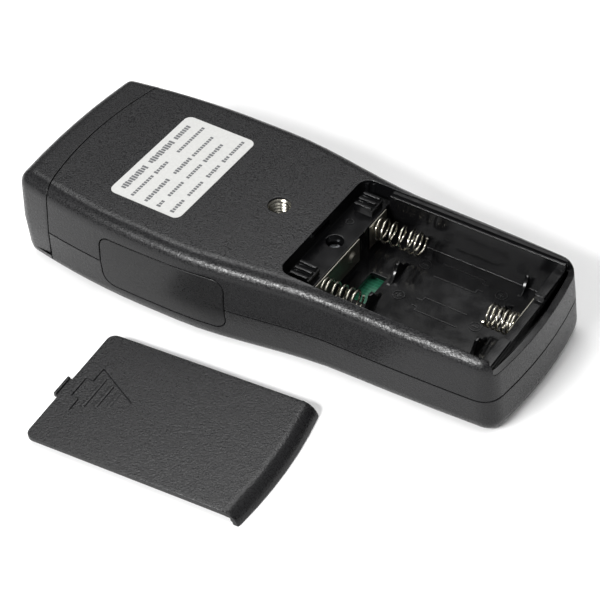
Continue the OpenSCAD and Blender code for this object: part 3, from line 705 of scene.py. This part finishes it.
class GAUGE_OT_contacts(bpy.types.Operator):
    """Pressed contact plates on the bay's end walls."""

    bl_idname = "gauge.contacts"
    bl_label = "Contact plates"

    def execute(self, context):
        edge = 0.1 * MM
        for node in ("contact_link_sensor", "contact_single_sensor",
                     "contact_link_tail", "contact_single_tail"):
            obj = rounded_copy(node, node + "_plate", edge)
            dress(obj, "nickel strip")
            stand_for(obj, "gauge", "contact", node)
        return {"FINISHED"}


class GAUGE_OT_board(bpy.types.Operator):
    """The circuit board that shows through the bay's window."""

    bl_idname = "gauge.board"
    bl_label = "Circuit board"

    def execute(self, context):
        edge = 0.12 * MM
        obj = rounded_copy("main_board", "main_board_laminate", edge)
        dress(obj, "solder mask")
        stand_for(obj, "gauge", "board", "main_board")
        return {"FINISHED"}


class GAUGE_OT_display_lens(bpy.types.Operator):
    """The lens over the display, with its dark printed border."""

    bl_idname = "gauge.display_lens"
    bl_label = "Display lens"

    def execute(self, context):
        edge = 0.2 * MM
        obj = rounded_copy("lcd_lens", "lcd_lens_fitting", edge)
        dress(obj, "printed border")
        stand_for(obj, "gauge", "lens", "lcd_lens")
        return {"FINISHED"}


class GAUGE_OT_test_disc(bpy.types.Operator):
    """The ground steel reference disc in the front."""

    bl_idname = "gauge.test_disc"
    bl_label = "Test disc"

    def execute(self, context):
        edge = 0.3 * MM
        obj = rounded_copy("test_block", "test_block_fitting", edge)
        dress(obj, "ground steel")
        stand_for(obj, "gauge", "test_block", "test_block")
        return {"FINISHED"}


class GAUGE_OT_probe_sockets(bpy.types.Operator):
    """The two turned sockets of the probe in the sensor cap."""

    bl_idname = "gauge.probe_sockets"
    bl_label = "Probe sockets"

    def execute(self, context):
        edge = 0.2 * MM
        for node in ("probe_socket_transmit", "probe_socket_receive"):
            obj = rounded_copy(node, node + "_fitting", edge)
            dress(obj, "nickel turned")
            stand_for(obj, "gauge", "socket", node)
        return {"FINISHED"}


class GAUGE_OT_keys(bpy.types.Operator):
    """Five moulded keys, each on its own body."""

    bl_idname = "gauge.keys"
    bl_label = "Keys"

    def execute(self, context):
        edge = 0.35 * MM
        for i in range(1, 6):
            node = f"key_{i}"
            obj = rounded_copy(node, node + "_fitting", edge)
            dress(obj, "moulded keys")
            stand_for(obj, f"button_{i}", "key", node)
        return {"FINISHED"}


class GAUGE_OT_inner_parts(bpy.types.Operator):
    """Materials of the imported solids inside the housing."""

    bl_idname = "gauge.inner_parts"
    bl_label = "Inner parts"

    def execute(self, context):
        inside = [("lcd_module", "display glass"), ("contact_strip", "conductive rubber"),
                  ("key_mat", "silicone rubber"), ("socket_pins", "gold plate"),
                  ("case_screw", "zinc plate"), ("board_screws", "zinc plate")]
        for node, finish in inside:
            dress(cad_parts[node], finish)
        return {"FINISHED"}


class GAUGE_OT_stage(bpy.types.Operator):
    """Pale floor, soft lights and the camera."""

    bl_idname = "gauge.stage"
    bl_label = "Stage"

    def execute(self, context):
        stage = context.scene.gauge_stage
        clear_selection()
        bpy.ops.mesh.primitive_plane_add(size=stage.floor_size)
        floor = fresh("floor")
        dress(floor, "matte paper")
        world = bpy.data.worlds.new("studio")
        context.scene.world = world
        world.use_nodes = True
        sky = world.node_tree.nodes["Background"]
        sky.inputs["Color"].default_value = (1.0, 1.0, 1.0, 1.0)
        sky.inputs["Strength"].default_value = stage.sky
        # each light: its name, place in metres, power, width and height; all look at the same spot
        aim = Vector((0, -0.03, 0.02))
        lights = [
            ("key", (-0.20, -0.89, 0.71), stage.key_power, 0.5, 0.22),
            ("back", (-0.37, 0.45, 1.05), stage.back_power, 0.8, 0.4),
            ("fill", (0.5, -0.2, 1.3), stage.fill_power, 0.9, 0.9),
        ]
        for name, at, power, wide, high in lights:
            clear_selection()
            bpy.ops.object.light_add(type="AREA", location=at)
            light = fresh(name)
            light.data.shape = "RECTANGLE"
            light.data.size = wide
            light.data.size_y = high
            light.data.energy = power
            light.rotation_euler = (aim - Vector(at)).to_track_quat("-Z", "Y").to_euler()
        # the camera's place in mm, and its backward and right-hand directions
        eye = Vector((259.97, -362.70, 406.51))
        back = Vector((0.4272, -0.59625, 0.6797)).normalized()
        right = Vector((0.83923, 0.54122, -0.05269))
        right = (right - back * right.dot(back)).normalized()
        turn = Matrix((right, back.cross(right), back)).transposed().to_4x4()
        clear_selection()
        bpy.ops.object.camera_add()
        camera = fresh("camera")
        camera.matrix_world = Matrix.Translation(eye * MM) @ turn
        camera.data.lens = stage.lens
        camera.data.sensor_width = 36
        context.scene.camera = camera
        # a plain curve, so that the white floor and the black plastic both keep their tones
        context.scene.view_settings.view_transform = "Standard"
        return {"FINISHED"}


class GAUGE_PT_panel(bpy.types.Panel):
    """Lists the steps and the sizes and colours that they use."""

    bl_idname = "GAUGE_PT_panel"
    bl_label = "Thickness gauge"
    bl_space_type = "VIEW_3D"
    bl_region_type = "UI"
    bl_category = "Gauge"

    def draw(self, context):
        scene = context.scene
        for step in STEPS:
            self.layout.operator(step.bl_idname)
        for group in (scene.gauge_sizes, scene.gauge_colours, scene.gauge_stage):
            for name in group.__annotations__:
                self.layout.prop(group, name)


GROUPS = (GaugeSizes, GaugeColours, GaugeStage)
STEPS = (
    GAUGE_OT_housing, GAUGE_OT_side_panels, GAUGE_OT_battery_cover, GAUGE_OT_tripod_insert,
    GAUGE_OT_rating_label, GAUGE_OT_springs, GAUGE_OT_bay_marks, GAUGE_OT_contacts, GAUGE_OT_board,
    GAUGE_OT_display_lens, GAUGE_OT_test_disc, GAUGE_OT_probe_sockets, GAUGE_OT_keys,
    GAUGE_OT_inner_parts, GAUGE_OT_stage,
)


def register():
    for cls in (*GROUPS, *STEPS, GAUGE_PT_panel):
        bpy.utils.register_class(cls)
    bpy.types.Scene.gauge_sizes = bpy.props.PointerProperty(type=GaugeSizes)
    bpy.types.Scene.gauge_colours = bpy.props.PointerProperty(type=GaugeColours)
    bpy.types.Scene.gauge_stage = bpy.props.PointerProperty(type=GaugeStage)


def unregister():
    del bpy.types.Scene.gauge_sizes
    del bpy.types.Scene.gauge_colours
    del bpy.types.Scene.gauge_stage
    for cls in (GAUGE_PT_panel, *reversed(STEPS), *reversed(GROUPS)):
        bpy.utils.unregister_class(cls)


def main():
    register()
    bpy.ops.gauge.housing()
    bpy.ops.gauge.side_panels()
    bpy.ops.gauge.battery_cover()
    bpy.ops.gauge.tripod_insert()
    bpy.ops.gauge.rating_label()
    bpy.ops.gauge.springs()
    bpy.ops.gauge.bay_marks()
    bpy.ops.gauge.contacts()
    bpy.ops.gauge.board()
    bpy.ops.gauge.display_lens()
    bpy.ops.gauge.test_disc()
    bpy.ops.gauge.probe_sockets()
    bpy.ops.gauge.keys()
    bpy.ops.gauge.inner_parts()
    bpy.ops.gauge.stage()


if __name__ == "__main__":
    main()
